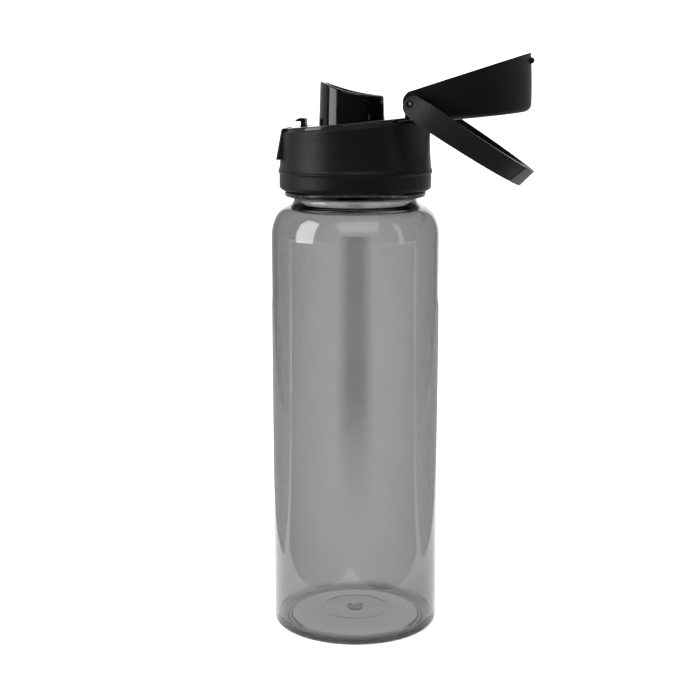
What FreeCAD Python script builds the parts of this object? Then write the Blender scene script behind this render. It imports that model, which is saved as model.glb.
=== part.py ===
import FreeCAD, Part
import math
import os

# A clear drinking bottle with a two-piece screw lid, a drinking spout under a
# sprung flip cap, a release button at the front and a carry bail at the back.
# Millimetres. The origin is the centre of the base on the standing plane, +Z
# is up, +X points at the hinge (back) and -X at the release button (front).

Vector = FreeCAD.Vector
X_AXIS = Vector(1, 0, 0)
Y_AXIS = Vector(0, 1, 0)
Z_AXIS = Vector(0, 0, 1)
FULL_TURN = 360.0

# Bottle
BODY_R = 37.5
WALL = 1.9
BASE_CORNER_R = 2.4
FOOT_INNER_R = 31.4
RING_R = 29.6
RING_STEP = 0.9
PUSH_UP = 4.2
DOME_FALL = 0.6
RING_DRAFT = 0.6
FOOT_DRAFT = 0.8
INNER_CORNER_R = 3.0
INNER_FLOOR_Z = 2.2
FLOOR_WALL = 1.4
GATE_R = 3.3
GATE_DRAFT = 0.4
GATE_DROP = 1.2
SHOULDER_START_Z = 178.8
SHOULDER_R1 = 20.0
SHOULDER_TURN1 = 25.0
SHOULDER_R2 = 10.5
SHOULDER_TURN2 = 72.0
NECK_R = 27.4
NECK_BLEND = 0.8
FLANGE_R = 31.4
FLANGE_BOTTOM_Z = 196.6
FLANGE_TOP_Z = 198.8
FLANGE_LEAD = 1.0
FLANGE_CHAMFER = 0.4
RIM_Z = 214.0
RIM_ROUND = 0.5

# Screw thread, right handed
PITCH = 5.5
RIDGE_BASE = 2.6
RIDGE_CREST = 1.3
RIDGE_ROOT_SINK = 0.4
MALE_CREST_R = 29.1
MALE_START_Z = 202.4
MALE_HEIGHT = 8.2
FEMALE_ROOT_R = 29.6
FEMALE_CREST_R = 28.1
FEMALE_START_Z = 200.9
FEMALE_HEIGHT = 6.6
MATING_OFFSET = 2.3

# Lower lid ring with its threaded sleeve and roof
LID_BOTTOM_Z = 199.2
LID_RING_R = 33.6
LID_RING_ROUND = 2.0
SEAM_Z = 207.9
SEAM_R = 34.0
SLEEVE_R = 31.1
SLEEVE_STEP_Z = 212.2
SLEEVE_TOP_R = 30.0
SLEEVE_TOP_INNER_R = 28.4
ROOF_BOTTOM_Z = 215.3
ROOF_TOP_Z = 216.8
SLEEVE_CHAMFER = 0.5
THREAD_LEAD_IN = 0.8
SEAM_BEAD_BELOW = 0.7
SEAM_CHAMFER = 0.2
SEAM_BEAD_BLEND = 1.5
GASKET_GAP = 0.05
GASKET_SIDE_GAP = 0.2

# Tilted top of the lid
TOP_TILT = 5.3
COLLAR_TOP_Z = 227.6
DECK_TOP_Z = 229.1
COLLAR_LOW_R = 33.5
COLLAR_LOW_Z = 209.2
COLLAR_MID_R = 33.1
COLLAR_MID_Z = 213.9
COLLAR_TOP_R = 32.8
COLLAR_HIGH_Z = 220.9
COLLAR_SEAT_GAP = 0.1
COLLAR_ROOF_GAP = 0.2
COLLAR_INNER_R = 30.0
COLLAR_EDGE_ROUND = 1.2
DECK_R = 31.4
DECK_PLATE = 2.6
DECK_EDGE_ROUND = 0.7
DECK_SKIRT_R = 29.8
DECK_SKIRT_WALL = 1.8
DECK_SKIRT_BOTTOM_Z = 219.4

# Hinge pin line
PIN_X = 25.0
PIN_Z = 237.0
PIN_R = 1.45
PIN_HALF_LENGTH = 22.6
PIN_END_ROUND = 1.0
RUNNING_GAP = 0.06

# Hinge tower
TOWER_HALF_WIDTH = 13.0
TOWER_FRONT_X = 22.4
TOWER_BACK_X = 28.4
TOWER_TOP_Z = 239.7
TOWER_ROUND = 2.3
SPRING_SLOT_Y = (4.6, 11.2)
SPRING_SLOT_BELOW_PIN = 3.6
TOWER_GAP = 0.1
POCKET_BACK_GAP = 0.3

# Spout
SPOUT_X = -1.6
SPOUT_BASE_R = 14.6
SPOUT_TOP_R = 13.8
SPOUT_WALL = 2.0
SPOUT_TOP_Z = 247.5
TUBE_R = 13.7
TUBE_END_Z = 215.6
TUBE_HOLE_R = 13.9
TUBE_SHOULDER_R = 16.4
TUBE_SHOULDER_Z = (218.4, 220.2)
SADDLE_R = 65.0
SADDLE_X = 13.0
SADDLE_Z = 305.35
RIM_FILLET = 0.8

# Flip cap, in its own section: U runs along the rim from the pin, W is depth
CAP_OPEN_ANGLE = 167.6
CAP_PIN_W = 5.1
CAP_CENTRE_U = 25.1
CAP_RIM_R = 29.95
CAP_FRONT_DRAFT = 7.0
CAP_DRAFT_DEPTH = 22.5
CAP_CONE_OVERRUN = 1.4
CAP_CROWN_LOW_W = 2.5
CAP_BULGE = 0.6
CAP_ROOF_W0 = 13.7
CAP_ROOF_ANGLE = 12.0
CAP_HEEL_U = 4.5
CAP_HEEL_W = 9.5
CAP_HEEL_ANGLE = 36.8
CAP_WALL = 2.0
CAP_EDGE_R = 3.4
CAP_BACK_U = 2.0
CAP_UNDERCUT = 1.0
NOTCH_HALF_WIDTH = 13.4
NOTCH_REACH = 6.2
NOTCH_PAST_HEEL = 1.6
KNUCKLE_R = 4.85
KNUCKLE_U = 1.8
KNUCKLE_WEB_U = 7.5
KNUCKLE_WEB_DROP = 0.8
KNUCKLE_OUTER_Y = 20.6
EYE_RELIEF_R = 6.5
NUB_R = 1.35
NUB_W = 3.3
NUB_HALF_LENGTH = 6.0
CATCH_TIP_U = 50.0
CATCH_HALF_WIDTH = 3.8
CATCH_SINK = 1.0
CATCH_W = (0.2, 1.55)

# Seal under the cap's roof
SEAL_R = 14.6
SEAL_LIFT = 0.3
SEAL_ROOF_GAP = 0.1
SEAL_THICK = 1.3
HOLDER_R = 15.2
HOLDER_CORE_R = 10.8
HOLDER_CORE_THICK = 1.2

# Carry bail, in the plane through the pin line; S runs away from the pin
BAIL_ANGLE = -32.7
BAIL_CENTRE_S = 24.3
BAIL_INNER_R = 32.0
BAIL_THICK = 2.6
BAIL_END_SLANT = 12.7
BAIL_ROOT_WIDTH = 10.0
BAIL_ROOT_RUN = 6.0
BAIL_TIP_WIDTH = 8.4
EYE_R = 4.4
EYE_CENTRE_S = 1.65
EYE_INNER_Y = 20.9
GRIP_START_S = 54.2
GRIP_SLANT = 20.0
GRIP_GROOVE = 0.4
GRIP_PROUD = 0.15
CORE_OVERLAP = 0.5
CORE_R = (32.5, 33.9)
CORE_HALF_WIDTH = 3.6

# Release button and latch
LATCH_TRAVEL = 1.8
BUTTON_HALF_WIDTH = 11.9
BUTTON_GAP = 0.7
BUTTON_LOW = (-33.85, 212.7)
BUTTON_HIGH = (-31.4, 225.6)
BUTTON_TOP_Z = 226.2
BUTTON_TOP_FRONT_X = -30.8
BUTTON_EDGE_ROUND = 1.0
CHEEK_BACK_X = -30.5
CHEEK_WIDTH = 1.5
CHEEK_SINK = 0.5
BUTTON_BACK_X = -29.2
BUTTON_SKIRT = 1.95
BUTTON_SKIRT_TOP_Z = 217.4
ARM_Z = (217.4, 220.8)
ARM_HALF_WIDTH = 4.9
ARM_BACK_X = -20.8
HOOK_HALF_WIDTH = 3.9
HOOK_FRONT_X = -23.8
HOOK_BACK_X = -21.7
HOOK_TIP_X = -26.1
HOOK_NOSE_Z = 229.05
HOOK_TIP_TOP_Z = 229.7
HOOK_CREST_X = -24.4
HOOK_TOP_Z = 230.5
HOOK_BACK_TOP_Z = 230.25
HOOK_FOOT_Z = 222.3
HOOK_FOOT_STEP = 0.8
SLOT_X = (-25.8, -18.9)
SLOT_HALF_WIDTH = 4.4

# Springs
COIL_SPRING_WIRE_R = 0.35
COIL_SPRING_R = 1.25
COIL_SPRING_TURNS = 3
COIL_SPRING_Z = 222.6
COIL_SPRING_GAP = 0.1
TORSION_WIRE_R = 0.4
TORSION_TURNS = 4
TORSION_SIDE_GAP = 0.5
TORSION_BORE_GAP = 0.25
TORSION_LEG = 2.8
TORSION_FAR_LEG = 0.9

FAR = 120.0


def unit(angle_deg):
    """Cosine and sine of an angle in degrees."""
    a = math.radians(angle_deg)
    return math.cos(a), math.sin(a)


def point(x, z, y=0.0):
    return Vector(x, y, z)


def line(a, b):
    return Part.makeLine(a, b)


def arc(centre, radius, start_deg, end_deg):
    """Arc in the XZ plane from one angle to another, through the middle one."""
    angles = (start_deg, 0.5 * (start_deg + end_deg), end_deg)
    places = []
    for angle in angles:
        c, s = unit(angle)
        places.append(point(centre[0] + radius * c, centre[1] + radius * s))
    return Part.Arc(places[0], places[1], places[2]).toShape()


def arc_end(centre, radius, angle):
    c, s = unit(angle)
    return centre[0] + radius * c, centre[1] + radius * s


def polygon(corners):
    """Straight-sided outline in the XZ plane, as a closed wire."""
    places = [point(x, z) for x, z in corners]
    return Part.makePolygon(places + [places[0]])


def revolve(outline):
    """Turn an outline in the XZ plane once round the Z axis."""
    return Part.Face(outline).revolve(Vector(0, 0, 0), Z_AXIS, FULL_TURN)


def extrude_y(outline, y0, y1):
    """Push an outline in the XZ plane along Y from y0 to y1."""
    face = Part.Face(outline)
    face.translate(Vector(0, y0, 0))
    return face.extrude(Vector(0, y1 - y0, 0))


def both_sides(shape):
    """The shape and its mirror image in the XZ plane."""
    return shape, shape.mirror(Vector(0, 0, 0), Y_AXIS)


def tube_z(outer, inner, z0, z1, x=0.0):
    body = Part.makeCylinder(outer, z1 - z0, Vector(x, 0, z0))
    return body.cut(Part.makeCylinder(inner, z1 - z0, Vector(x, 0, z0)))


def cylinder_y(radius, y0, y1, x=PIN_X, z=PIN_Z):
    return Part.makeCylinder(radius, y1 - y0, Vector(x, y0, z), Y_AXIS)


def box(x0, x1, y0, y1, z0, z1):
    return Part.makeBox(x1 - x0, y1 - y0, z1 - z0, Vector(x0, y0, z0))


def single(shape):
    """The one solid of a result, with split faces joined again."""
    clean = shape.removeSplitter()
    if len(clean.Solids) != 1:
        raise ValueError("expected one solid, found %d" % len(clean.Solids))
    return clean.Solids[0]


def export(shape, node):
    solid = single(shape)
    if not solid.isValid():
        raise ValueError("invalid solid: " + node)
    solid.exportStep("parts/" + node + ".step")
    print("%-14s volume %9.1f mm3" % (node, solid.Volume))


def above_tilted(z_at_axis):
    """A large block whose flat underside is a plane with the top's tilt."""
    block = Part.makeBox(2 * FAR, 2 * FAR, FAR, Vector(-FAR, -FAR, 0))
    block.rotate(Vector(0, 0, 0), Y_AXIS, -TOP_TILT)
    block.translate(Vector(0, 0, z_at_axis))
    return block


def ridge(root_r, crest_r, start_z, height):
    """A helical thread ridge from its root radius to its crest radius."""
    outward = 1.0 if crest_r > root_r else -1.0
    sunk = root_r - outward * RIDGE_ROOT_SINK
    profile = polygon([
        (sunk, start_z - RIDGE_BASE / 2),
        (crest_r, start_z - RIDGE_CREST / 2),
        (crest_r, start_z + RIDGE_CREST / 2),
        (sunk, start_z + RIDGE_BASE / 2),
    ])
    spine = Part.makeHelix(PITCH, height, root_r)
    spine.translate(Vector(0, 0, start_z))
    return Part.Wire(spine.Edges).makePipeShell([profile], True, True)


# ---- bottle ----------------------------------------------------------------

def shoulder(inset):
    """Shoulder and neck root: rounded outside, and a thick corner inside."""
    centre1 = (BODY_R - SHOULDER_R1, SHOULDER_START_Z)
    centre2 = arc_end(centre1, SHOULDER_R1 - SHOULDER_R2, SHOULDER_TURN1)
    c, s = unit(SHOULDER_TURN2)
    crown_r = centre2[0] + SHOULDER_R2 * c
    fillet = (crown_r - NECK_R) / (1 - c)
    centre3 = arc_end(centre2, SHOULDER_R2 + fillet, SHOULDER_TURN2)
    edges = [
        arc(centre1, SHOULDER_R1 - inset, 0.0, SHOULDER_TURN1),
        arc(centre2, SHOULDER_R2 - inset, SHOULDER_TURN1, SHOULDER_TURN2),
    ]
    if inset == 0.0:
        edges.append(arc(centre3, fillet, SHOULDER_TURN2 + 180.0, 180.0))
        return edges, point(NECK_R, centre3[1])
    crown = arc_end(centre2, SHOULDER_R2 - inset, SHOULDER_TURN2)
    corner = point(NECK_R - inset, crown[1] + (crown[0] - NECK_R + inset) * c / s)
    edges.append(line(point(crown[0], crown[1]), corner))
    return edges, corner


def flange_path(start):
    """Outside of the neck from its root over the flange to the rim."""
    corners = [
        start,
        point(NECK_R, FLANGE_BOTTOM_Z - NECK_BLEND),
        point(FLANGE_R - FLANGE_LEAD, FLANGE_BOTTOM_Z),
        point(FLANGE_R - FLANGE_CHAMFER, FLANGE_BOTTOM_Z),
        point(FLANGE_R, FLANGE_BOTTOM_Z + FLANGE_CHAMFER),
        point(FLANGE_R, FLANGE_TOP_Z - FLANGE_CHAMFER),
        point(FLANGE_R - FLANGE_CHAMFER, FLANGE_TOP_Z),
        point(NECK_R, FLANGE_TOP_Z),
        point(NECK_R, RIM_Z - RIM_ROUND),
        point(NECK_R - RIM_ROUND, RIM_Z),
        point(NECK_R - WALL + RIM_ROUND, RIM_Z),
        point(NECK_R - WALL, RIM_Z - RIM_ROUND),
    ]
    return [line(a, b) for a, b in zip(corners, corners[1:])], corners[-1]


def base_outside():
    """Underside from the gate nub over the dome and rings to the foot."""
    nub_z = PUSH_UP - GATE_DROP
    ring_z = RING_STEP + RING_STEP
    corners = [
        point(0.0, nub_z),
        point(GATE_R, nub_z),
        point(GATE_R + GATE_DRAFT, PUSH_UP),
        point(0.5 * RING_R, PUSH_UP - DOME_FALL),
        point(RING_R - RING_DRAFT, ring_z),
        point(RING_R, RING_STEP),
        point(FOOT_INNER_R - FOOT_DRAFT, RING_STEP),
        point(FOOT_INNER_R, 0.0),
        point(BODY_R - BASE_CORNER_R, 0.0),
    ]
    return [line(a, b) for a, b in zip(corners, corners[1:])]


def bottle():
    outer_edges, neck_out = shoulder(0.0)
    inner_edges, neck_in = shoulder(WALL)
    neck_edges, rim_in = flange_path(neck_out)
    corner = (BODY_R - BASE_CORNER_R, BASE_CORNER_R)
    floor_z = PUSH_UP + FLOOR_WALL
    low = (BODY_R - WALL - INNER_CORNER_R, INNER_FLOOR_Z + INNER_CORNER_R)
    edges = base_outside()
    edges.append(arc(corner, BASE_CORNER_R, -90.0, 0.0))
    edges.append(line(point(BODY_R, BASE_CORNER_R), point(BODY_R, SHOULDER_START_Z)))
    edges += outer_edges + neck_edges
    edges.append(line(rim_in, neck_in))
    edges += inner_edges[::-1]
    edges.append(line(point(BODY_R - WALL, SHOULDER_START_Z), point(BODY_R - WALL, low[1])))
    edges.append(arc(low, INNER_CORNER_R, 0.0, -90.0))
    floor_edge = point(low[0], INNER_FLOOR_Z)
    edges.append(line(floor_edge, point(0.5 * RING_R, floor_z - DOME_FALL)))
    edges.append(line(point(0.5 * RING_R, floor_z - DOME_FALL), point(0.0, floor_z)))
    edges.append(line(point(0.0, floor_z), point(0.0, PUSH_UP - GATE_DROP)))
    body = revolve(Part.Wire(Part.__sortEdges__(edges)))
    return body.fuse(ridge(NECK_R, MALE_CREST_R, MALE_START_Z, MALE_HEIGHT))


# ---- lid -------------------------------------------------------------------

def lid_base():
    """Threaded sleeve, its roof and the visible lower ring in one piece."""
    edge = LID_RING_ROUND
    corners = [
        point(LID_RING_R, LID_BOTTOM_Z + edge),
        point(LID_RING_R, SEAM_Z - SEAM_BEAD_BLEND),
        point(SEAM_R, SEAM_Z - SEAM_BEAD_BELOW),
        point(SEAM_R, SEAM_Z - SEAM_CHAMFER),
        point(SEAM_R - SEAM_CHAMFER, SEAM_Z),
        point(SLEEVE_R, SEAM_Z),
        point(SLEEVE_R, SLEEVE_STEP_Z),
        point(SLEEVE_TOP_R, SLEEVE_STEP_Z),
        point(SLEEVE_TOP_R, ROOF_TOP_Z - SLEEVE_CHAMFER),
        point(SLEEVE_TOP_R - SLEEVE_CHAMFER, ROOF_TOP_Z),
        point(0.0, ROOF_TOP_Z),
        point(0.0, ROOF_BOTTOM_Z),
        point(SLEEVE_TOP_INNER_R, ROOF_BOTTOM_Z),
        point(SLEEVE_TOP_INNER_R, SLEEVE_STEP_Z),
        point(FEMALE_ROOT_R, SLEEVE_STEP_Z),
        point(FEMALE_ROOT_R, LID_BOTTOM_Z + THREAD_LEAD_IN),
        point(FEMALE_ROOT_R + THREAD_LEAD_IN, LID_BOTTOM_Z),
        point(LID_RING_R - edge, LID_BOTTOM_Z),
    ]
    edges = [line(a, b) for a, b in zip(corners, corners[1:])]
    edges.append(arc((LID_RING_R - edge, LID_BOTTOM_Z + edge), edge, -90.0, 0.0))
    body = revolve(Part.Wire(Part.__sortEdges__(edges)))
    body = body.fuse(female_ridge())
    hole = Part.makeCylinder(TUBE_HOLE_R, FAR, Vector(SPOUT_X, 0, ROOF_BOTTOM_Z - 1))
    return body.cut(hole)


def female_ridge():
    """The lid's ridge, turned so that it bears on the bottle's from below."""
    phase = FULL_TURN * (FEMALE_START_Z - (MALE_START_Z - MATING_OFFSET)) / PITCH
    turn = ridge(FEMALE_ROOT_R, FEMALE_CREST_R, FEMALE_START_Z, FEMALE_HEIGHT)
    turn.rotate(Vector(0, 0, 0), Z_AXIS, phase)
    return turn


def collar_blank():
    corners = [
        point(SEAM_R - SEAM_CHAMFER, SEAM_Z),
        point(SEAM_R, SEAM_Z + SEAM_CHAMFER),
        point(COLLAR_LOW_R, COLLAR_LOW_Z),
        point(COLLAR_MID_R, COLLAR_MID_Z),
        point(COLLAR_TOP_R, COLLAR_HIGH_Z),
        point(COLLAR_TOP_R, FAR * 2),
        point(0.0, FAR * 2),
        point(0.0, SEAM_Z),
    ]
    return revolve(Part.makePolygon(corners + [corners[0]]))


def collar_shell():
    """Outer wall with its tilted, rounded top edge and the seat inside."""
    solid = collar_blank().cut(above_tilted(COLLAR_TOP_Z))
    rim = [e for e in solid.Edges if e.BoundBox.ZMin > COLLAR_HIGH_Z and e.BoundBox.YLength > COLLAR_TOP_R]
    solid = solid.makeFillet(COLLAR_EDGE_ROUND, rim)
    seat_height = ROOF_TOP_Z + COLLAR_ROOF_GAP - SEAM_Z
    solid = solid.cut(Part.makeCylinder(SLEEVE_R + COLLAR_SEAT_GAP, seat_height, Vector(0, 0, SEAM_Z)))
    return solid.cut(Part.makeCylinder(COLLAR_INNER_R, FAR, Vector(0, 0, SEAM_Z)))


def tower():
    """Block that carries the hinge pin, with a slot for the torsion spring."""
    block = box(TOWER_FRONT_X, TOWER_BACK_X, -TOWER_HALF_WIDTH, TOWER_HALF_WIDTH, ROOF_TOP_Z, TOWER_TOP_Z)
    tops = [e for e in block.Edges if e.BoundBox.ZMin > TOWER_TOP_Z - 1 and e.BoundBox.YLength > TOWER_HALF_WIDTH]
    block = block.makeFillet(TOWER_ROUND, tops)
    root = box(TOWER_BACK_X - 1, FAR, -TOWER_HALF_WIDTH, TOWER_HALF_WIDTH, ROOF_TOP_Z, PIN_Z)
    inside = Part.makeCylinder(DECK_R, FAR, Vector(0, 0, SEAM_Z))
    block = block.fuse(root.common(inside).cut(above_tilted(DECK_TOP_Z)))
    slot = box(TOWER_FRONT_X - 1, TOWER_BACK_X + 1, SPRING_SLOT_Y[0], SPRING_SLOT_Y[1], PIN_Z - SPRING_SLOT_BELOW_PIN, FAR * 3)
    bore = cylinder_y(PIN_R, -TOWER_HALF_WIDTH - 1, TOWER_HALF_WIDTH + 1)
    return block.cut(slot).cut(bore)


def button_pocket(gap):
    """Space that the button needs at rest and pressed, with a side gap."""
    half = BUTTON_HALF_WIDTH + gap
    back = BUTTON_BACK_X + LATCH_TRAVEL + POCKET_BACK_GAP
    return box(-FAR, back, -half, half, BUTTON_LOW[1] - gap, FAR * 2)


def collar():
    body = collar_shell().fuse(tower())
    return body.cut(button_pocket(BUTTON_GAP))


def saddle_cutter(lift=0.0):
    """Cylinder along Y whose underside is the spout's concave rim."""
    return Part.makeCylinder(SADDLE_R - lift, FAR, Vector(SADDLE_X, -FAR / 2, SADDLE_Z), Y_AXIS)


def spout_blank():
    height = SPOUT_TOP_Z - COLLAR_TOP_Z + DECK_PLATE
    foot = Vector(SPOUT_X, 0, COLLAR_TOP_Z - DECK_PLATE)
    return Part.makeCone(SPOUT_BASE_R, SPOUT_TOP_R, height, foot)


def spout_bore():
    height = SPOUT_TOP_Z - TUBE_END_Z + 2
    foot = Vector(SPOUT_X, 0, TUBE_END_Z - 1)
    return Part.makeCone(SPOUT_BASE_R - SPOUT_WALL, SPOUT_TOP_R - SPOUT_WALL, height, foot)


def deck_spout():
    """Glossy deck, drinking spout and the tube below it in one moulding."""
    plate = Part.makeCylinder(DECK_R, FAR, Vector(0, 0, DECK_SKIRT_BOTTOM_Z))
    plate = plate.cut(above_tilted(DECK_TOP_Z))
    edge = [e for e in plate.Edges if e.BoundBox.ZMin > DECK_SKIRT_BOTTOM_Z + 1 and e.BoundBox.YLength > DECK_R]
    plate = plate.makeFillet(DECK_EDGE_ROUND, edge)
    seat = tube_z(FAR, DECK_SKIRT_R, DECK_SKIRT_BOTTOM_Z - 1, DECK_TOP_Z + FAR)
    plate = plate.cut(seat.cut(above_tilted(COLLAR_TOP_Z)))
    hollow = Part.makeCylinder(DECK_SKIRT_R - DECK_SKIRT_WALL, FAR, Vector(0, 0, DECK_SKIRT_BOTTOM_Z - 1))
    plate = plate.cut(hollow.cut(above_tilted(DECK_TOP_Z - DECK_PLATE)))
    spout = spout_blank().fuse(Part.makeCylinder(TUBE_R, DECK_TOP_Z - TUBE_END_Z, Vector(SPOUT_X, 0, TUBE_END_Z)))
    shoulder_ring = Part.makeCylinder(TUBE_SHOULDER_R, TUBE_SHOULDER_Z[1] - TUBE_SHOULDER_Z[0],
                                      Vector(SPOUT_X, 0, TUBE_SHOULDER_Z[0]))
    spout = spout.fuse(shoulder_ring).cut(spout_bore()).cut(saddle_cutter())
    rim = [e for e in spout.Edges if e.BoundBox.ZMax > PIN_Z and e.BoundBox.YLength > SPOUT_TOP_R]
    spout = spout.makeFillet(RIM_FILLET, rim)
    body = plate.cut(Part.makeCylinder(SPOUT_BASE_R - 1, FAR, Vector(SPOUT_X, 0, SEAM_Z))).fuse(spout)
    body = body.cut(button_pocket(BUTTON_GAP))
    body = body.cut(box(SLOT_X[0], SLOT_X[1], -SLOT_HALF_WIDTH, SLOT_HALF_WIDTH, HOOK_FOOT_Z - 1, FAR * 2))
    half = TOWER_HALF_WIDTH + TOWER_GAP
    return body.cut(box(TOWER_FRONT_X - TOWER_GAP, FAR, -half, half, SEAM_Z, FAR * 2))


def neck_gasket():
    outer = SLEEVE_TOP_INNER_R - GASKET_SIDE_GAP
    inner = NECK_R - WALL + GASKET_SIDE_GAP
    return tube_z(outer, inner, RIM_Z + GASKET_GAP, ROOF_BOTTOM_Z - GASKET_GAP)


def spout_gasket():
    outer = TUBE_SHOULDER_R - GASKET_SIDE_GAP
    inner = TUBE_HOLE_R
    return tube_z(outer, inner, ROOF_TOP_Z, TUBE_SHOULDER_Z[0], SPOUT_X)


# ---- flip cap --------------------------------------------------------------
# The cap is built closed, with U along -X and W along +Z of a level frame
# whose origin is the foot of the pin on the rim plane, and is then placed.

def place_cap(shape):
    """Move a piece from the cap's own frame to where it stands open."""
    shape.translate(Vector(PIN_X, 0, PIN_Z - CAP_PIN_W))
    shape.rotate(Vector(PIN_X, 0, PIN_Z), Y_AXIS, CAP_OPEN_ANGLE - TOP_TILT)
    return shape


def cap_corners(inset):
    """Corners of the half section of the cone before the roof is cut."""
    top = CAP_DRAFT_DEPTH * CAP_CONE_OVERRUN
    lean = CAP_FRONT_DRAFT / CAP_DRAFT_DEPTH
    return CAP_RIM_R - inset, CAP_RIM_R - inset - lean * top, top


def cap_cone(inset):
    """Solid of the cap's wall line, slightly bulged, about its own axis."""
    low_r, high_r, top = cap_corners(inset)
    middle = point(0.5 * (low_r + high_r) + CAP_BULGE, 0.5 * top)
    curve = Part.BSplineCurve()
    curve.interpolate([point(low_r, 0.0), middle, point(high_r, top)])
    side = curve.toShape()
    rest = Part.makePolygon([
        point(high_r, top), point(0.0, top), point(0.0, -CAP_UNDERCUT), point(low_r, -CAP_UNDERCUT), point(low_r, 0.0),
    ])
    solid = revolve(Part.Wire(Part.__sortEdges__([side] + rest.Edges)))
    solid.translate(Vector(-CAP_CENTRE_U, 0, 0))
    return solid


def over_line(u, w, angle, inset):
    """Block above a line that rises forward at an angle through (u, w)."""
    block = Part.makeBox(2 * FAR, 2 * FAR, FAR, Vector(-FAR, -FAR, -inset))
    block.rotate(Vector(0, 0, 0), Y_AXIS, angle)
    block.translate(Vector(-u, 0, w))
    return block


def cap_solid(inset):
    solid = cap_cone(inset)
    solid = solid.cut(over_line(0.0, CAP_ROOF_W0, CAP_ROOF_ANGLE, inset))
    return solid.cut(over_line(CAP_HEEL_U, CAP_HEEL_W, CAP_HEEL_ANGLE, inset))


def cap_shell():
    outer = cap_solid(0.0).cut(box(-FAR, FAR, -FAR, FAR, -FAR, 0.0))
    crown = [e for e in outer.Edges if e.BoundBox.ZMin > CAP_CROWN_LOW_W and e.BoundBox.YLength > CAP_EDGE_R]
    outer = outer.makeFillet(CAP_EDGE_R, crown)
    return outer.cut(cap_solid(CAP_WALL)), outer


def knuckle():
    """One hinge barrel of the cap with the web that joins it to the wall."""
    y0 = NOTCH_HALF_WIDTH
    y1 = KNUCKLE_OUTER_Y
    barrel = cylinder_y(KNUCKLE_R, y0, y1, -KNUCKLE_U, KNUCKLE_R)
    web = box(-KNUCKLE_WEB_U, -KNUCKLE_U, y0, y1, 0.0, 2 * KNUCKLE_R - KNUCKLE_WEB_DROP)
    return barrel.fuse(web)


def thumb_nub():
    lean = CAP_FRONT_DRAFT / CAP_DRAFT_DEPTH
    x = -(CAP_CENTRE_U + CAP_RIM_R - lean * NUB_W)
    nub = cylinder_y(NUB_R, -NUB_HALF_LENGTH, NUB_HALF_LENGTH, x, NUB_W)
    for y in (-NUB_HALF_LENGTH, NUB_HALF_LENGTH):
        nub = nub.fuse(Part.makeSphere(NUB_R, Vector(x, y, NUB_W)))
    return nub


def catch_rib():
    """Lug inside the front wall that the latch hook holds down."""
    wall = CAP_CENTRE_U + CAP_RIM_R - CATCH_SINK
    return box(-wall, -CATCH_TIP_U, -CATCH_HALF_WIDTH, CATCH_HALF_WIDTH, CATCH_W[0], CATCH_W[1])


def flip_cap():
    shell, outer = cap_shell()
    shell = shell.cut(box(-CAP_BACK_U, FAR, -FAR, FAR, -1, FAR))
    shell = shell.cut(box(-CAP_HEEL_U - NOTCH_PAST_HEEL, FAR, -NOTCH_HALF_WIDTH, NOTCH_HALF_WIDTH, -1, CAP_HEEL_W))
    shell = shell.cut(cylinder_y(NOTCH_REACH, -NOTCH_HALF_WIDTH, NOTCH_HALF_WIDTH, 0.0, CAP_PIN_W))
    for piece in both_sides(cylinder_y(EYE_RELIEF_R, KNUCKLE_OUTER_Y, FAR, 0.0, CAP_PIN_W)):
        shell = shell.cut(piece)
    for piece in both_sides(knuckle()):
        shell = shell.fuse(piece)
    front_nub = thumb_nub().cut(outer)
    shell = shell.fuse(front_nub).fuse(catch_rib())
    shell = shell.cut(cylinder_y(PIN_R + RUNNING_GAP, -FAR, FAR, 0.0, CAP_PIN_W))
    return place_cap(shell)


def to_cap(shape):
    """Move a piece from its closed place on the lid into the cap's frame."""
    shape.rotate(Vector(PIN_X, 0, PIN_Z), Y_AXIS, TOP_TILT)
    shape.translate(Vector(-PIN_X, 0, CAP_PIN_W - PIN_Z))
    return shape


def seal_column(radius, low_lift, high_lift):
    """Disc over the spout between two surfaces that follow its rim."""
    column = Part.makeCylinder(radius, FAR, Vector(SPOUT_X, 0, PIN_Z))
    column = column.common(saddle_cutter(low_lift))
    if high_lift is not None:
        column = column.cut(saddle_cutter(high_lift))
    return to_cap(column)


def spout_seal():
    pad = seal_column(SEAL_R, SEAL_LIFT, SEAL_LIFT + SEAL_THICK)
    return place_cap(pad.common(cap_solid(CAP_WALL + SEAL_ROOF_GAP)))


def seal_holder():
    """Stiff carrier between the seal and the cap's roof, with a lip round it."""
    inner = cap_solid(CAP_WALL)
    disc = seal_column(HOLDER_R, SEAL_LIFT + SEAL_THICK, None).common(inner)
    core = seal_column(HOLDER_CORE_R, SEAL_LIFT + SEAL_THICK, SEAL_LIFT + SEAL_THICK + HOLDER_CORE_THICK)
    rim = disc.cut(seal_column(HOLDER_CORE_R, SEAL_LIFT + SEAL_THICK, None))
    return place_cap(rim.fuse(core.common(inner)))


# ---- hinge, bail and latch --------------------------------------------------

def hinge_pin():
    pin = cylinder_y(PIN_R, -PIN_HALF_LENGTH, PIN_HALF_LENGTH)
    ends = [e for e in pin.Edges if abs(e.BoundBox.YMin) > PIN_HALF_LENGTH - 0.1 and e.BoundBox.YLength < 0.1]
    return pin.makeFillet(PIN_END_ROUND, ends)


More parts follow.
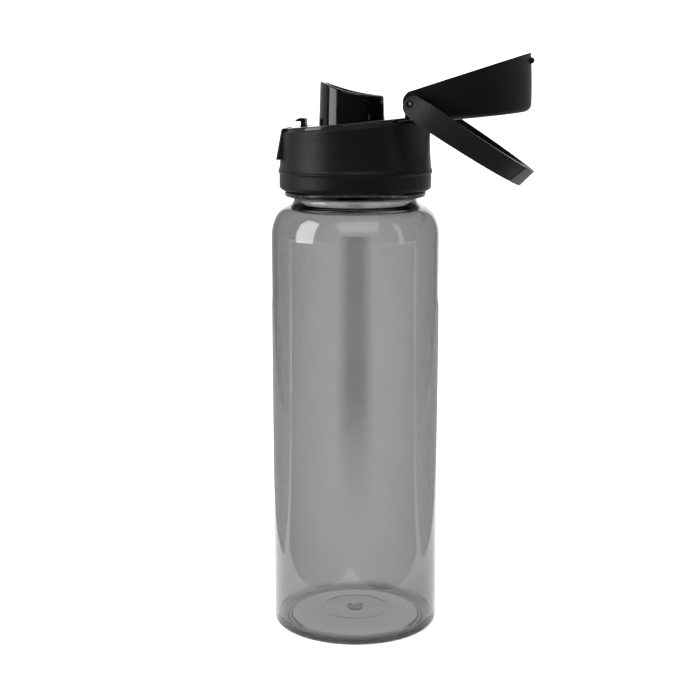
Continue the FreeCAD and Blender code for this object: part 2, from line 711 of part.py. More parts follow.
def hinge_spring():
    """Torsion coil round the pin with one leg down and one leg back."""
    slot = SPRING_SLOT_Y[1] - SPRING_SLOT_Y[0] - 2 * (TORSION_WIRE_R + TORSION_SIDE_GAP)
    coil_r = PIN_R + TORSION_WIRE_R + TORSION_BORE_GAP
    pitch = slot / TORSION_TURNS
    spine = Part.makeHelix(pitch, slot, coil_r)
    ring = Part.Wire(Part.makeCircle(TORSION_WIRE_R, Vector(coil_r, 0, 0), Y_AXIS))
    coil = Part.Wire(spine.Edges).makePipeShell([ring], True, True)
    leg = Part.makeCylinder(TORSION_WIRE_R, coil_r + TORSION_LEG, Vector(coil_r, 0, 0), Y_AXIS)
    far_leg = Part.makeCylinder(TORSION_WIRE_R, coil_r + TORSION_FAR_LEG, Vector(coil_r, 0, slot), Y_AXIS * -1)
    spring = coil.fuse(leg).fuse(far_leg)
    spring.rotate(Vector(0, 0, 0), X_AXIS, -90)
    spring.rotate(Vector(0, 0, 0), Y_AXIS, 180)
    spring.translate(Vector(PIN_X, SPRING_SLOT_Y[0] + TORSION_WIRE_R + TORSION_SIDE_GAP, PIN_Z))
    return spring


def slanted_disc(radius):
    """Tall solid about the bail's centre whose side follows the slanted end."""
    disc = Part.makeCylinder(radius, FAR, Vector(0, 0, -FAR / 2))
    disc.rotate(Vector(0, 0, 0), Y_AXIS, BAIL_END_SLANT)
    disc.translate(Vector(BAIL_CENTRE_S, 0, 0))
    return disc


def beyond(s):
    """Block past a slanted plane that crosses the bail's plane at s."""
    block = Part.makeBox(FAR, 2 * FAR, 2 * FAR, Vector(0, -FAR, -FAR))
    block.rotate(Vector(0, 0, 0), Y_AXIS, GRIP_SLANT)
    block.translate(Vector(s, 0, 0))
    return block


def bail_hoop(inner_r, outer_r):
    hollow = Part.makeCylinder(inner_r, FAR, Vector(BAIL_CENTRE_S, 0, -FAR / 2))
    behind_eyes = box(-FAR, EYE_CENTRE_S, -FAR, FAR, -FAR, FAR)
    return slanted_disc(outer_r).cut(hollow).cut(behind_eyes)


def bail_taper():
    """Side outline of the bail, wide at the pin and narrow at the tip."""
    tip_s = BAIL_CENTRE_S + BAIL_INNER_R + 2 * BAIL_THICK
    root = BAIL_ROOT_WIDTH / 2
    tip = BAIL_TIP_WIDTH / 2
    near = EYE_CENTRE_S - EYE_R
    return extrude_y(polygon([
        (near, -EYE_R), (EYE_CENTRE_S, -EYE_R), (EYE_CENTRE_S + BAIL_ROOT_RUN, -root), (tip_s, -tip),
        (tip_s, tip), (EYE_CENTRE_S + BAIL_ROOT_RUN, root), (EYE_CENTRE_S, EYE_R), (near, EYE_R),
    ]), -FAR, FAR)


def place_bail(shape):
    shape.rotate(Vector(0, 0, 0), Y_AXIS, -BAIL_ANGLE)
    shape.translate(Vector(PIN_X, 0, PIN_Z))
    return shape


def bail_eye():
    """Round end of the bail, closed outside by the hoop's own surface."""
    eye = cylinder_y(EYE_R, EYE_INNER_Y, BODY_R, EYE_CENTRE_S, 0.0)
    eye = eye.common(slanted_disc(BAIL_INNER_R + BAIL_THICK))
    return eye.cut(cylinder_y(PIN_R + RUNNING_GAP, 0.0, BODY_R, 0.0, 0.0))


def bail_core(start_s):
    """Slimmer stretch of the bail that the grip is moulded over."""
    level = box(-FAR, FAR, -FAR, FAR, -CORE_HALF_WIDTH, CORE_HALF_WIDTH)
    return bail_hoop(CORE_R[0], CORE_R[1]).common(level).common(beyond(start_s))


def carry_handle():
    """Bail with a round eye at each end and a groove before its grip."""
    hoop = bail_hoop(BAIL_INNER_R, BAIL_INNER_R + BAIL_THICK).common(bail_taper())
    hoop = hoop.cut(beyond(GRIP_START_S)).fuse(bail_core(GRIP_START_S - CORE_OVERLAP))
    for eye in both_sides(bail_eye()):
        hoop = hoop.fuse(eye)
    return place_bail(hoop)


def handle_grip():
    """Sleeve moulded over the bail's tip beyond the groove."""
    start = GRIP_START_S + GRIP_GROOVE
    sleeve = bail_hoop(BAIL_INNER_R, BAIL_INNER_R + BAIL_THICK + GRIP_PROUD).common(bail_taper())
    return place_bail(sleeve.common(beyond(start)).cut(bail_core(GRIP_START_S)))


def button_cheek():
    """Side wall behind the lower half of the button's face."""
    low_x, low_z = BUTTON_LOW
    inner_y = BUTTON_HALF_WIDTH - CHEEK_WIDTH
    front_x = low_x + BUTTON_SKIRT - CHEEK_SINK
    return box(front_x, CHEEK_BACK_X, inner_y, BUTTON_HALF_WIDTH, low_z, BUTTON_SKIRT_TOP_Z)


def release_button():
    """Wedge-faced button with the arm that carries the hook."""
    low_x, low_z = BUTTON_LOW
    panel = polygon([
        BUTTON_LOW, BUTTON_HIGH, (BUTTON_TOP_FRONT_X, BUTTON_TOP_Z), (BUTTON_BACK_X, BUTTON_TOP_Z),
        (BUTTON_BACK_X, BUTTON_SKIRT_TOP_Z), (low_x + BUTTON_SKIRT, BUTTON_SKIRT_TOP_Z), (low_x + BUTTON_SKIRT, low_z),
    ])
    body = extrude_y(panel, -BUTTON_HALF_WIDTH, BUTTON_HALF_WIDTH)
    face_edges = [e for e in body.Edges if e.BoundBox.ZLength > BUTTON_HALF_WIDTH and e.BoundBox.XMax < BUTTON_TOP_FRONT_X]
    body = body.makeFillet(BUTTON_EDGE_ROUND, face_edges)
    for cheek in both_sides(button_cheek()):
        body = body.fuse(cheek)
    arm = box(BUTTON_BACK_X - 1, ARM_BACK_X, -ARM_HALF_WIDTH, ARM_HALF_WIDTH, ARM_Z[0], ARM_Z[1])
    return body.fuse(arm)


def latch_hook():
    """Stem on the button's arm with the nose that holds the cap's lug."""
    foot_z = ARM_Z[1]
    outline = polygon([
        (HOOK_FRONT_X - HOOK_FOOT_STEP, foot_z), (HOOK_FRONT_X - HOOK_FOOT_STEP, HOOK_FOOT_Z),
        (HOOK_FRONT_X, HOOK_FOOT_Z), (HOOK_FRONT_X, HOOK_NOSE_Z), (HOOK_TIP_X, HOOK_NOSE_Z),
        (HOOK_TIP_X, HOOK_TIP_TOP_Z), (HOOK_CREST_X, HOOK_TOP_Z), (HOOK_BACK_X, HOOK_BACK_TOP_Z),
        (HOOK_BACK_X, foot_z),
    ])
    return extrude_y(outline, -HOOK_HALF_WIDTH, HOOK_HALF_WIDTH)


def latch_spring():
    """Small compression coil between the hook's stem and the spout's tube."""
    start = HOOK_BACK_X + COIL_SPRING_WIRE_R + COIL_SPRING_GAP
    length = SPOUT_X - TUBE_R - COIL_SPRING_WIRE_R - COIL_SPRING_GAP - start
    spine = Part.makeHelix(length / COIL_SPRING_TURNS, length, COIL_SPRING_R)
    ring = Part.Wire(Part.makeCircle(COIL_SPRING_WIRE_R, Vector(COIL_SPRING_R, 0, 0), Y_AXIS))
    coil = Part.Wire(spine.Edges).makePipeShell([ring], True, True)
    coil.rotate(Vector(0, 0, 0), Y_AXIS, 90)
    coil.translate(Vector(start, 0, COIL_SPRING_Z))
    return coil


PIECES = (
    bottle, lid_base, collar, deck_spout, neck_gasket, spout_gasket, flip_cap, seal_holder,
    spout_seal, hinge_pin, hinge_spring, carry_handle, handle_grip, release_button, latch_hook,
    latch_spring,
)

os.makedirs("parts", exist_ok=True)
for piece in PIECES:
    export(piece(), piece.__name__)
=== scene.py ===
import math

import bpy
from bpy.props import FloatProperty, FloatVectorProperty, PointerProperty
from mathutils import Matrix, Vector

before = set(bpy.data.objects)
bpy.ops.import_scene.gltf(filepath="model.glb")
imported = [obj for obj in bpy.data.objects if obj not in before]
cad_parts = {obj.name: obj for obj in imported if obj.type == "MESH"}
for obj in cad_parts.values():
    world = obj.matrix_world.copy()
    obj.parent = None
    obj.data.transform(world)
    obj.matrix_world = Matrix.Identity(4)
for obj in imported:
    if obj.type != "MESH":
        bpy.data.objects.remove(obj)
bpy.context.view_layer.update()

bl_info = {
    "name": "Flip Cap Drinking Bottle",
    "version": (1, 0, 0),
    "blender": (4, 5, 0),
    "location": "View3D > Sidebar > Bottle",
    "description": "Finishes, stage and camera for a clear drinking bottle with a flip cap lid",
    "category": "Object",
}

# Sockets of the colour mix node
MIX_FIRST = 6
MIX_SECOND = 7
MIX_RESULT = 2

CLEAR = (1.0, 1.0, 1.0)
OPAQUE = (0.0, 0.0, 0.0)
WHITE = (1.0, 1.0, 1.0, 1.0)

# Painted shade in the inner corner of the neck root: radius, height and half thickness of its dark line, in
# metres
NECK_ROOT_SHADE_LINE = (0.0256, 0.1922, 0.00023)

# Stage, in metres. The table lies at 0, and each card a little above it.
SWEEP_BACK = 1.6
SWEEP_RISE = 2.6
SWEEP_BEND = 0.6
SWEEP_STEPS = 12
CARD_RISE = 0.002
STRIP_RISE = 0.003
FRONT_FOOT = 0.14
FRONT_NEAR = 0.40
FRONT_FAR = 2.6
FRONT_HALF_ANGLE = math.radians(24.0)
SIDE_INNER = 0.12
SIDE_OUTER = 0.42
SIDE_FRONT = 0.02
SIDE_BACK = 0.9
SIDE_TOP = 0.8
STRIP_NEAR = 0.74
STRIP_FAR = 2.24
STRIP_FADE_END = 1.10
STRIP_SLOPE = 0.02
STRIP_CORE = 0.006
STRIP_EDGE = 0.018

# Softboxes: name, place and aim in metres, width and height in metres, power in watts
SOFTBOXES = (
    ("key_softbox", (-0.874, -0.371, 0.6), (0.0, 0.0, 0.6), (0.5, 0.96), 11.0),
    ("side_strip", (0.88, -0.356, 0.6), (0.0, 0.0, 0.6), (0.12, 0.96), 0.9),
    ("front_softbox", (0.15, -0.85, 0.95), (0.0, 0.0, 0.18), (1.1, 0.7), 5.0),
    ("top_softbox", (0.0, 0.35, 1.3), (0.0, 0.35, 0.0), (1.6, 1.6), 4.0),
    ("backdrop_wash", (0.0, 0.7, 0.9), (0.0, 2.1, 0.5), (2.4, 0.6), 3.0),
)
WORLD_LIGHT = 0.05
FRONT_GREY = 0.2
SIDE_GREY = 0.6
SENSOR_WIDTH = 36.0


# ---- settings --------------------------------------------------------------

def colour(name, description, value):
    return FloatVectorProperty(name=name, description=description, default=value, subtype="COLOR",
                               size=3, min=0.0, max=1.0)


class BottleFinishSettings(bpy.types.PropertyGroup):
    smoke: colour("Smoke tint", "Colour that the clear wall lets through", (0.20, 0.207, 0.215))
    smoke_depth: FloatProperty(name="Smoke depth", description="How strongly the wall absorbs, per metre",
                               default=500.0, min=0.0, max=5000.0)
    matt: colour("Matt black", "Moulded lid plastic", (0.0022, 0.0023, 0.0026))
    satin: colour("Satin black", "Bail plastic", (0.006, 0.0065, 0.007))
    gloss: colour("Gloss black", "Polished deck and spout", (0.0025, 0.0025, 0.003))
    soft: colour("Soft grip", "Elastomer over the bail's tip", (0.040, 0.042, 0.046))
    rubber: colour("Silicone", "Seals and gaskets", (0.42, 0.43, 0.44))
    metal: colour("Steel", "Pin and springs", (0.62, 0.62, 0.63))
    grain: FloatProperty(name="Grain size", description="Spacing of the moulded grain", default=0.0008,
                         min=0.0001, max=0.005, subtype="DISTANCE", unit="LENGTH")
    wear: FloatProperty(name="Edge wear", description="How much paler the worn edges are", default=0.25,
                        min=0.0, max=1.0, subtype="FACTOR")


class BottleStageSettings(bpy.types.PropertyGroup):
    floor: colour("Floor", "Pale studio floor and backdrop", (0.93, 0.93, 0.93))
    glow: FloatProperty(name="Floor glow", description="Light that the table gives from below", default=0.95,
                        min=0.0, max=5.0)
    floor_half: FloatProperty(name="Floor half width", description="Half the floor's width", default=8.0,
                              min=0.5, max=20.0, subtype="DISTANCE", unit="LENGTH")
    camera_distance: FloatProperty(name="Camera distance", description="Level distance from the axis",
                                   default=0.640, min=0.2, max=5.0, subtype="DISTANCE", unit="LENGTH")
    camera_height: FloatProperty(name="Camera height", description="Height above the floor", default=0.250,
                                 min=0.0, max=3.0, subtype="DISTANCE", unit="LENGTH")
    camera_azimuth: FloatProperty(name="Camera azimuth", description="Turn towards the hinge side",
                                  default=math.radians(5.0), subtype="ANGLE", unit="ROTATION")
    camera_tilt: FloatProperty(name="Camera tilt", description="Angle below the horizon",
                               default=math.radians(10.9), subtype="ANGLE", unit="ROTATION")
    camera_pan: FloatProperty(name="Camera pan", description="Turn to the left about the vertical",
                              default=math.radians(0.215), subtype="ANGLE", unit="ROTATION")
    lens: FloatProperty(name="Lens", description="Focal length in millimetres on a 36 mm sensor",
                        default=74.06, min=10.0, max=300.0)


# ---- node helpers ----------------------------------------------------------

class Finish:
    """A new material with its shader and short calls that add nodes to it."""

    def __init__(self, name):
        self.material = bpy.data.materials.new(name)
        self.material.use_nodes = True
        self.tree = self.material.node_tree
        self.shader = self.tree.nodes["Principled BSDF"]
        self.place = self.tree.nodes.new("ShaderNodeTexCoord").outputs["Object"]

    def link(self, source, target):
        self.tree.links.new(source, target)

    def set(self, **values):
        for key, value in values.items():
            self.shader.inputs[key.replace("_", " ")].default_value = value

    def noise(self, scale, stretch=None):
        node = self.tree.nodes.new("ShaderNodeTexNoise")
        node.inputs["Scale"].default_value = scale
        node.inputs["Detail"].default_value = 4.0
        node.inputs["Roughness"].default_value = 0.55
        source = self.place
        if stretch:
            mapping = self.tree.nodes.new("ShaderNodeMapping")
            mapping.inputs["Scale"].default_value = stretch
            self.link(source, mapping.inputs["Vector"])
            source = mapping.outputs["Vector"]
        self.link(source, node.inputs["Vector"])
        return node.outputs["Fac"]

    def cells(self, scale):
        node = self.tree.nodes.new("ShaderNodeTexVoronoi")
        node.inputs["Scale"].default_value = scale
        self.link(self.place, node.inputs["Vector"])
        return node.outputs["Distance"]

    def axis(self, name):
        """One coordinate of the piece, in metres."""
        node = self.tree.nodes.new("ShaderNodeSeparateXYZ")
        self.link(self.place, node.inputs["Vector"])
        return node.outputs[name]

    def span(self, source, low, high, from_low=0.0, from_high=1.0):
        """Rescale a value to run from low to high."""
        node = self.tree.nodes.new("ShaderNodeMapRange")
        node.inputs["From Min"].default_value = from_low
        node.inputs["From Max"].default_value = from_high
        node.inputs["To Min"].default_value = low
        node.inputs["To Max"].default_value = high
        self.link(source, node.inputs["Value"])
        return node.outputs["Result"]

    def edges(self, width):
        """1 on sharp edges and 0 on flats, from a bevelled normal."""
        sharp, flat = 0.85, 0.995
        bevel = self.tree.nodes.new("ShaderNodeBevel")
        bevel.samples = 4
        bevel.inputs["Radius"].default_value = width
        plain = self.tree.nodes.new("ShaderNodeNewGeometry")
        dot = self.tree.nodes.new("ShaderNodeVectorMath")
        dot.operation = "DOT_PRODUCT"
        self.link(bevel.outputs["Normal"], dot.inputs[0])
        self.link(plain.outputs["Normal"], dot.inputs[1])
        return self.span(dot.outputs["Value"], 1.0, 0.0, sharp, flat)

    def mix(self, factor, first, second):
        node = self.tree.nodes.new("ShaderNodeMix")
        node.data_type = "RGBA"
        self.link(factor, node.inputs["Factor"])
        node.inputs[MIX_FIRST].default_value = (*first, 1.0)
        node.inputs[MIX_SECOND].default_value = (*second, 1.0)
        return node.outputs[MIX_RESULT]

    def math(self, operation, first, second=0.0):
        """Arithmetic on a value, with a second value or a plain number."""
        node = self.tree.nodes.new("ShaderNodeMath")
        node.operation = operation
        self.link(first, node.inputs[0])
        if isinstance(second, float):
            node.inputs[1].default_value = second
        else:
            self.link(second, node.inputs[1])
        return node.outputs[0]

    def vector(self, operation, source, output, second=(0.0, 0.0, 0.0)):
        """Vector arithmetic on a place, with a second vector where one is needed."""
        node = self.tree.nodes.new("ShaderNodeVectorMath")
        node.operation = operation
        node.inputs[1].default_value = second
        self.link(source, node.inputs[0])
        return node.outputs[output]

    def ring(self, radius, height, width):
        """1 on a level circle about the piece's axis, falling to 0 at a distance of width."""
        level = self.vector("MULTIPLY", self.place, "Vector", (1.0, 1.0, 0.0))
        reach = self.vector("LENGTH", level, "Value")
        outward = self.math("SUBTRACT", reach, radius)
        upward = self.math("SUBTRACT", self.axis("Z"), height)
        squares = self.math("ADD", self.math("MULTIPLY", outward, outward),
                            self.math("MULTIPLY", upward, upward))
        core = 0.6 * width
        return self.span(self.math("SQRT", squares), 1.0, 0.0, core, width)

    def bump(self, source, strength, distance):
        node = self.tree.nodes.new("ShaderNodeBump")
        node.inputs["Strength"].default_value = strength
        node.inputs["Distance"].default_value = distance
        self.link(source, node.inputs["Height"])
        self.link(node.outputs["Normal"], self.shader.inputs["Normal"])


def lighter(base, gain, lift=0.0):
    """A colour made brighter, or dimmer with a gain below 1."""
    return tuple(min(1.0, c * gain + lift) for c in base)


def paint(material, *nodes):
    """Give solids of the frame a finished material."""
    for node in nodes:
        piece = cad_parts[node]
        piece.data.materials.clear()
        piece.data.materials.append(material)


def grained_plastic(name, base, grain, wear, rough):
    """Black moulded plastic: fine grain, drifting sheen and paler worn edges."""
    drift_scale, chip_scale, edge_width, grain_depth = 38.0, 240.0, 0.0006, 0.0001
    finish = Finish(name)
    drift = finish.noise(drift_scale)
    worn = finish.math("MULTIPLY", finish.edges(edge_width), finish.noise(chip_scale))
    tone = finish.mix(finish.math("MULTIPLY", worn, wear), base, lighter(base, 5.0, 0.03))
    finish.link(tone, finish.shader.inputs["Base Color"])
    finish.link(finish.span(drift, rough - 0.05, rough + 0.07), finish.shader.inputs["Roughness"])
    finish.set(Specular_IOR_Level=0.18)
    finish.bump(finish.cells(1.0 / grain), 0.5, grain_depth)
    return finish.material


def polished_plastic(name, base):
    """Polished black plastic with a faint flow ripple and fine wipe marks."""
    flow_scale, wipe_scale, flow_depth = 60.0, 900.0, 0.0002
    finish = Finish(name)
    drift = finish.noise(flow_scale)
    finish.link(finish.mix(drift, base, lighter(base, 1.6)), finish.shader.inputs["Base Color"])
    marks = finish.noise(wipe_scale, stretch=(1.0, 1.0, 0.12))
    finish.link(finish.span(marks, 0.06, 0.16, 0.35, 0.75), finish.shader.inputs["Roughness"])
    finish.set(Specular_IOR_Level=0.3)
    finish.bump(drift, 0.05, flow_depth)
    return finish.material


def smoke_clear(name, tint, depth):
    """Clear wall that absorbs light along its thickness, with ripples and a dark line of painted shade at
    the neck root.
    """
    ripple_scale, ripple_shade, ripple_depth, haze_scale = 16.0, 0.03, 0.0004, 120.0
    finish = Finish(name)
    ripple = finish.noise(ripple_scale, stretch=(1.0, 1.0, 0.25))
    # The dark neck-root line is painted shade: the ring mixes the clear base colour towards opaque black.
    shade = finish.math("MAXIMUM", finish.ring(*NECK_ROOT_SHADE_LINE), finish.math("MULTIPLY", ripple, ripple_shade))
    finish.link(finish.mix(shade, CLEAR, OPAQUE), finish.shader.inputs["Base Color"])
    finish.set(Transmission_Weight=1.0, IOR=1.5)
    smoke = finish.tree.nodes.new("ShaderNodeVolumeAbsorption")
    smoke.inputs["Color"].default_value = (*tint, 1.0)
    smoke.inputs["Density"].default_value = depth
    finish.link(smoke.outputs["Volume"], finish.tree.nodes["Material Output"].inputs["Volume"])
    finish.link(finish.span(finish.noise(haze_scale), 0.0, 0.04), finish.shader.inputs["Roughness"])
    finish.bump(ripple, 0.08, ripple_depth)
    return finish.material


def soft_rubber(name, base, rough):
    """Soft elastomer: dull, with a fine dusty grain and a drifting sheen."""
    dust_scale, sheen_scale, dust_depth = 320.0, 70.0, 0.00008
    finish = Finish(name)
    dust = finish.noise(dust_scale)
    finish.link(finish.mix(dust, base, lighter(base, 1.25)), finish.shader.inputs["Base Color"])
    sheen = finish.noise(sheen_scale)
    finish.link(finish.span(sheen, rough - 0.08, rough + 0.08), finish.shader.inputs["Roughness"])
    finish.bump(dust, 0.15, dust_depth)
    return finish.material


def drawn_steel(name, base):
    """Drawn steel with fine lines along the hinge's axis."""
    line_scale, line_depth = 1500.0, 0.00003
    finish = Finish(name)
    lines = finish.noise(line_scale, stretch=(1.0, 0.04, 1.0))
    finish.link(finish.mix(lines, lighter(base, 0.8), base), finish.shader.inputs["Base Color"])
    finish.set(Metallic=1.0)
    finish.link(finish.span(lines, 0.18, 0.34), finish.shader.inputs["Roughness"])
    finish.bump(lines, 0.1, line_depth)
    return finish.material


# ---- operators -------------------------------------------------------------

class BOTTLE_OT_body(bpy.types.Operator):
    """Finish the clear bottle body"""
    bl_idname = "bottle.body"
    bl_label = "Clear body"

    def execute(self, context):
        look = context.scene.bottle_finish
        paint(smoke_clear("smoke_clear_body", look.smoke, look.smoke_depth), "bottle")
        return {"FINISHED"}


class BOTTLE_OT_lid(bpy.types.Operator):
    """Finish the lid's ring, collar, button and hook"""
    bl_idname = "bottle.lid"
    bl_label = "Matt lid"

    def execute(self, context):
        look = context.scene.bottle_finish
        matt = grained_plastic("matt_black_lid", look.matt, look.grain, look.wear, rough=0.42)
        paint(matt, "lid_base", "collar", "release_button", "latch_hook")
        paint(grained_plastic("matt_black_cap", look.matt, look.grain, look.wear, rough=0.48), "flip_cap")
        return {"FINISHED"}


class BOTTLE_OT_deck(bpy.types.Operator):
    """Finish the polished deck and spout"""
    bl_idname = "bottle.deck"
    bl_label = "Polished spout"

    def execute(self, context):
        paint(polished_plastic("gloss_black_deck", context.scene.bottle_finish.gloss), "deck_spout")
        return {"FINISHED"}


class BOTTLE_OT_bail(bpy.types.Operator):
    """Finish the carry bail and its grip"""
    bl_idname = "bottle.bail"
    bl_label = "Carry bail"

    def execute(self, context):
        look = context.scene.bottle_finish
        satin = grained_plastic("satin_black_bail", look.satin, look.grain, look.wear, rough=0.36)
        paint(satin, "carry_handle", "seal_holder")
        paint(soft_rubber("soft_black_grip", look.soft, rough=0.6), "handle_grip")
        return {"FINISHED"}


class BOTTLE_OT_seals(bpy.types.Operator):
    """Finish the silicone seals"""
    bl_idname = "bottle.seals"
    bl_label = "Seals"

    def execute(self, context):
        silicone = soft_rubber("silicone_seals", context.scene.bottle_finish.rubber, rough=0.45)
        paint(silicone, "neck_gasket", "spout_gasket", "spout_seal")
        return {"FINISHED"}


class BOTTLE_OT_metal(bpy.types.Operator):
    """Finish the hinge pin and both springs"""
    bl_idname = "bottle.metal"
    bl_label = "Pin and springs"

    def execute(self, context):
        steel = drawn_steel("drawn_steel_wire", context.scene.bottle_finish.metal)
        paint(steel, "hinge_pin", "hinge_spring", "latch_spring")
        return {"FINISHED"}


def sweep_floor(half):
    """Floor that curves up into a backdrop, as one smooth sheet."""
    path = [(-half, 0.0)]
    for i in range(SWEEP_STEPS + 1):
        angle = 0.5 * math.pi * i / SWEEP_STEPS
        path.append((SWEEP_BACK + SWEEP_BEND * math.sin(angle), SWEEP_BEND * (1.0 - math.cos(angle))))
    path.append((SWEEP_BACK + SWEEP_BEND, SWEEP_RISE))
    verts = [(x, y, z) for x in (-half, half) for y, z in path]
    count = len(path)
    faces = [(i, i + 1, i + 1 + count, i + count) for i in range(count - 1)]
    mesh = bpy.data.meshes.new("studio_sweep")
    mesh.from_pydata(verts, [], faces)
    for face in mesh.polygons:
        face.use_smooth = True
    sheet = bpy.data.objects.new("studio_sweep", mesh)
    bpy.context.scene.collection.objects.link(sheet)
    return sheet


def area_light(name, place, aim, size, power):
    """Rectangular softbox that faces a point."""
    data = bpy.data.lights.new(name, "AREA")
    data.shape = "RECTANGLE"
    data.size, data.size_y = size
    data.energy = power
    lamp = bpy.data.objects.new(name, data)
    lamp.location = place
    lamp.rotation_euler = (Vector(aim) - Vector(place)).to_track_quat("-Z", "Y").to_euler()
    bpy.context.scene.collection.objects.link(lamp)


def hidden_card(name, corners, material):
    """Studio card out of sight of the camera, that lights nothing and shades nothing."""
    mesh = bpy.data.meshes.new(name)
    mesh.from_pydata(corners, [], [tuple(range(len(corners)))])
    mesh.materials.append(material)
    card = bpy.data.objects.new(name, mesh)
    bpy.context.scene.collection.objects.link(card)
    card.visible_camera = False
    card.visible_diffuse = False
    card.visible_shadow = False
    return card


def flock(name, glow):
    """Dull black card that may glow evenly, so that it mirrors as grey."""
    fibre_scale, dark, light = 400.0, (0.002, 0.002, 0.002), (0.006, 0.006, 0.006)
    finish = Finish(name)
    fibre = finish.noise(fibre_scale)
    finish.link(finish.mix(fibre, dark, light), finish.shader.inputs["Base Color"])
    finish.set(Roughness=1.0, Specular_IOR_Level=0.0, Emission_Color=WHITE, Emission_Strength=glow)
    return finish.material


def front_flags(black, grey):
    """Dark cards on the table in front, met only by mirrored rays."""
    spread = math.tan(FRONT_HALF_ANGLE)
    near = (FRONT_NEAR * spread, -FRONT_NEAR)
    far = (FRONT_FAR * spread, -FRONT_FAR)
    middle = [(-far[0], far[1]), far, near, (-near[0], near[1])]
    right = [(0.0, -FRONT_FOOT), (0.0, -FRONT_NEAR), near, far, (FRONT_FAR, -FRONT_FAR), (FRONT_FAR, 0.0),
             (FRONT_FOOT, 0.0)]
    left = [(-x, y) for x, y in right]
    cards = (("front_flag", middle, black), ("right_flag", right, grey), ("left_flag", left, grey))
    for name, outline, material in cards:
        card = hidden_card(name, [(x, y, CARD_RISE) for x, y in outline], material)
        card.visible_transmission = False


def side_flag(side, material):
    """Standing and lying grey cards beside the bottle that darken the clear wall's edges."""
    inner, outer = SIDE_INNER * side, SIDE_OUTER * side
    standing = [(outer, SIDE_FRONT, 0.0), (outer, SIDE_BACK, 0.0), (outer, SIDE_BACK, SIDE_TOP),
                (outer, SIDE_FRONT, SIDE_TOP)]
    lying = [(inner, SIDE_FRONT, CARD_RISE), (outer, SIDE_FRONT, CARD_RISE), (outer, SIDE_BACK, CARD_RISE),
             (inner, SIDE_BACK, CARD_RISE)]
    hidden_card("side_flag", standing, material)
    card = hidden_card("floor_flag", lying, material)
    card.visible_transmission = False


def shaded_strip(colour, glow, turn, distance):
    """Strip of the table behind the bottle, seen only through the clear wall, that glows and dims towards
    its middle and its far end: a painted dark band of shade.
    """
    shade = 0.55
    finish = Finish("shaded_strip")
    across = finish.math("ABSOLUTE", finish.math("DIVIDE", finish.axis("X"), finish.axis("Y")))
    band = finish.span(across, 1.0, 0.0, STRIP_CORE, STRIP_EDGE)
    fade = finish.span(finish.axis("Y"), 0.0, 1.0, STRIP_NEAR, STRIP_FADE_END)
    # Painted shade: band and fade dim both the strip's colour and its glow.
    tone = finish.mix(finish.math("MULTIPLY", band, fade), colour, lighter(colour, shade))
    finish.link(tone, finish.shader.inputs["Base Color"])
    finish.link(tone, finish.shader.inputs["Emission Color"])
    finish.set(Roughness=0.9, Specular_IOR_Level=0.1, Emission_Strength=glow)
    near, far = STRIP_NEAR * STRIP_SLOPE, STRIP_FAR * STRIP_SLOPE
    corners = [(-near, STRIP_NEAR, STRIP_RISE), (near, STRIP_NEAR, STRIP_RISE), (far, STRIP_FAR, STRIP_RISE),
               (-far, STRIP_FAR, STRIP_RISE)]
    strip = hidden_card("shaded_strip", corners, finish.material)
    strip.visible_glossy = False
    strip.location = (distance * math.sin(turn), -distance * math.cos(turn), 0.0)
    strip.rotation_euler = (0.0, 0.0, turn)


def pale_floor(colour, glow):
    """Light table: pale sheet that glows all over."""
    cloud_scale = 9.0
    finish = Finish("pale_floor")
    tone = finish.mix(finish.noise(cloud_scale), colour, lighter(colour, 0.99))
    finish.link(tone, finish.shader.inputs["Base Color"])
    finish.link(tone, finish.shader.inputs["Emission Color"])
    finish.set(Roughness=0.9, Specular_IOR_Level=0.1, Emission_Strength=glow)
    return finish.material


def white_world():
    """White surroundings that the camera sees at full strength and that light the bottle faintly."""
    world = bpy.data.worlds.new("studio_world")
    world.use_nodes = True
    nodes = world.node_tree.nodes
    background = nodes["Background"]
    background.inputs["Color"].default_value = WHITE
    background.inputs["Strength"].default_value = WORLD_LIGHT
    seen = nodes.new("ShaderNodeLightPath")
    lift = nodes.new("ShaderNodeMapRange")
    lift.inputs["To Min"].default_value = WORLD_LIGHT
    world.node_tree.links.new(seen.outputs["Is Camera Ray"], lift.inputs["Value"])
    world.node_tree.links.new(lift.outputs["Result"], background.inputs["Strength"])
    return world


def aimed_camera(stage):
    """Camera at the stage's distance, height and turn, level along its frame."""
    turn = stage.camera_azimuth
    data = bpy.data.cameras.new("camera")
    data.lens = stage.lens
    data.sensor_width = SENSOR_WIDTH
    camera = bpy.data.objects.new("camera", data)
    camera.location = (stage.camera_distance * math.sin(turn), -stage.camera_distance * math.cos(turn),
                       stage.camera_height)
    camera.rotation_euler = (0.5 * math.pi - stage.camera_tilt, 0.0, turn + stage.camera_pan)
    bpy.context.scene.collection.objects.link(camera)
    return camera


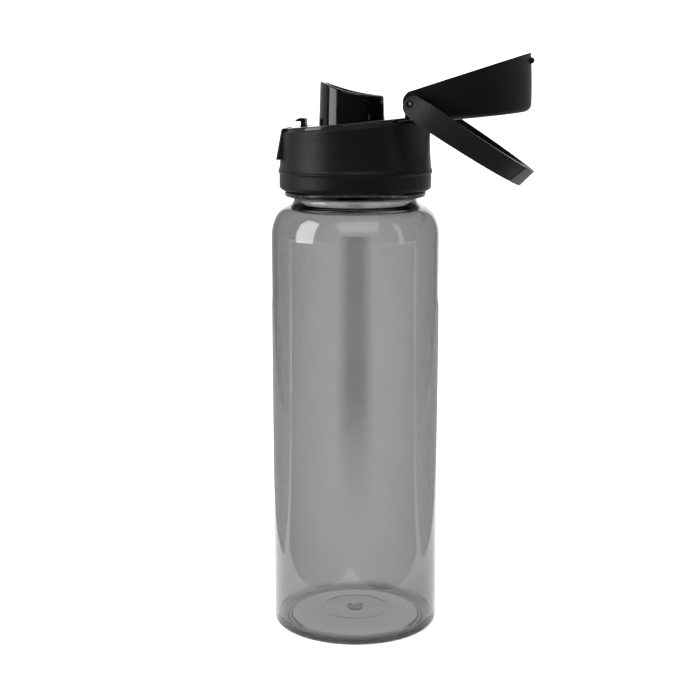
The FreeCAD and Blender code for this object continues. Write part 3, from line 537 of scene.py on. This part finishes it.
class BOTTLE_OT_stage(bpy.types.Operator):
    """Make the floor, the soft lights and the camera"""
    bl_idname = "bottle.stage"
    bl_label = "Stage"

    def execute(self, context):
        stage = context.scene.bottle_stage
        sheet = sweep_floor(stage.floor_half)
        sheet.data.materials.append(pale_floor(stage.floor, stage.glow))
        for box in SOFTBOXES:
            area_light(*box)
        front_flags(flock("black_flock", 0.0), flock("dark_flock", FRONT_GREY))
        grey = flock("grey_flock", SIDE_GREY)
        side_flag(-1.0, grey)
        side_flag(1.0, grey)
        shaded_strip(stage.floor, stage.glow, stage.camera_azimuth, stage.camera_distance)
        context.scene.world = white_world()
        context.scene.view_settings.view_transform = "Standard"
        context.scene.camera = aimed_camera(stage)
        return {"FINISHED"}


PIECE_OPERATORS = (
    BOTTLE_OT_body,
    BOTTLE_OT_lid,
    BOTTLE_OT_deck,
    BOTTLE_OT_bail,
    BOTTLE_OT_seals,
    BOTTLE_OT_metal,
    BOTTLE_OT_stage,
)


class BOTTLE_PT_panel(bpy.types.Panel):
    """Lists the steps that finish the bottle"""
    bl_idname = "BOTTLE_PT_panel"
    bl_label = "Flip Cap Bottle"
    bl_space_type = "VIEW_3D"
    bl_region_type = "UI"
    bl_category = "Bottle"

    def draw(self, context):
        for step in PIECE_OPERATORS:
            self.layout.operator(step.bl_idname)
        for group in (context.scene.bottle_finish, context.scene.bottle_stage):
            for key in group.bl_rna.properties.keys():
                if key not in {"rna_type", "name"}:
                    self.layout.prop(group, key)


CLASSES = (BottleFinishSettings, BottleStageSettings) + PIECE_OPERATORS + (BOTTLE_PT_panel,)


def register():
    for item in CLASSES:
        bpy.utils.register_class(item)
    bpy.types.Scene.bottle_finish = PointerProperty(type=BottleFinishSettings)
    bpy.types.Scene.bottle_stage = PointerProperty(type=BottleStageSettings)


def unregister():
    del bpy.types.Scene.bottle_stage
    del bpy.types.Scene.bottle_finish
    for item in reversed(CLASSES):
        bpy.utils.unregister_class(item)


def main():
    register()
    bpy.ops.bottle.body()
    bpy.ops.bottle.lid()
    bpy.ops.bottle.deck()
    bpy.ops.bottle.bail()
    bpy.ops.bottle.seals()
    bpy.ops.bottle.metal()
    bpy.ops.bottle.stage()


if __name__ == "__main__":
    main()
